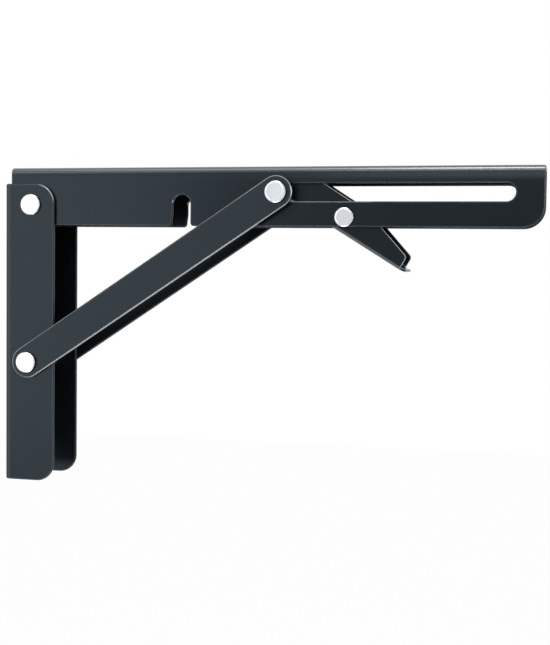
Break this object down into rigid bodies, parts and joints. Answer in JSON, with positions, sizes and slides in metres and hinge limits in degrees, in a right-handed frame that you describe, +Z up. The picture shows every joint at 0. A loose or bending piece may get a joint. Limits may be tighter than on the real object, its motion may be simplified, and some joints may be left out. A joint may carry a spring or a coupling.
{
  "type": "drop leaf table bracket",
  "caption": "Folding triangle bracket for a drop leaf: slotted arm channel, wall channel and diagonal brace bars, locked open by a sprung release lever.",
  "frame": {"origin": "on the wall face of the wall channel, level with the top pivot and midway across", "axes": "+X out from the wall along the open arm, +Z up, +Y across to the right side as one faces the wall"},
  "size_m": [0.303, 0.0448, 0.1796],
  "materials": {
    "powder_coat": "satin black powder coat on folded steel",
    "nickel_plate": "bright nickel plated rivets",
    "plain_steel": "zinc plated steel",
    "spring_steel": "oiled spring wire"
  },
  "bodies": {
    "wall_channel": {"wall_channel": "powder_coat", "top_pivot_rivet": "nickel_plate", "top_pivot_tube": "plain_steel", "lower_pivot_rivet": "nickel_plate", "lower_pivot_tube": "plain_steel"},
    "arm": {"arm_channel": "powder_coat", "lever_pivot_rivet": "nickel_plate", "lever_washer_left": "plain_steel", "lever_washer_right": "plain_steel", "latch_spring": "spring_steel"},
    "brace": {"brace_bar_left": "powder_coat", "brace_bar_right": "powder_coat", "slide_cap_left": "nickel_plate", "slide_cap_right": "nickel_plate"},
    "slide_pins": {"slide_rivet_left": "nickel_plate", "slide_rivet_right": "nickel_plate", "slide_bush_left": "plain_steel", "slide_bush_right": "plain_steel", "slide_spacer_left": "plain_steel", "slide_spacer_right": "plain_steel"},
    "latch": {"release_lever": "powder_coat"}
  },
  "joints": [
    {"name": "arm_fold", "type": "hinge", "parent": "wall_channel", "child": "arm", "pos_m": [0.0164, 0, 0], "axis": [0, 1, 0], "range_deg": [0, 90]},
    {"name": "brace_swing", "type": "hinge", "parent": "wall_channel", "child": "brace", "pos_m": [0.015, 0, -0.09], "axis": [0, 1, 0], "range_deg": [0, 121]},
    {"name": "pin_slide", "type": "slide", "parent": "arm", "child": "slide_pins", "axis": [1, 0, 0], "range_m": [0, 0.1206]},
    {"name": "latch_press", "type": "hinge", "parent": "arm", "child": "latch", "pos_m": [0.1975, 0, -0.0065], "axis": [0, -1, 0], "range_deg": [0, 40], "stiffness_Nm_per_rad": 0.1, "springref_deg": -28.65, "deforming": ["latch_spring"]}
  ],
  "couplings": [
    {"joint": "brace_swing", "follows": "arm_fold", "ratio": 1.3436},
    {"joint": "pin_slide", "follows": "arm_fold", "m_per_rad": 0.076713}
  ]
}
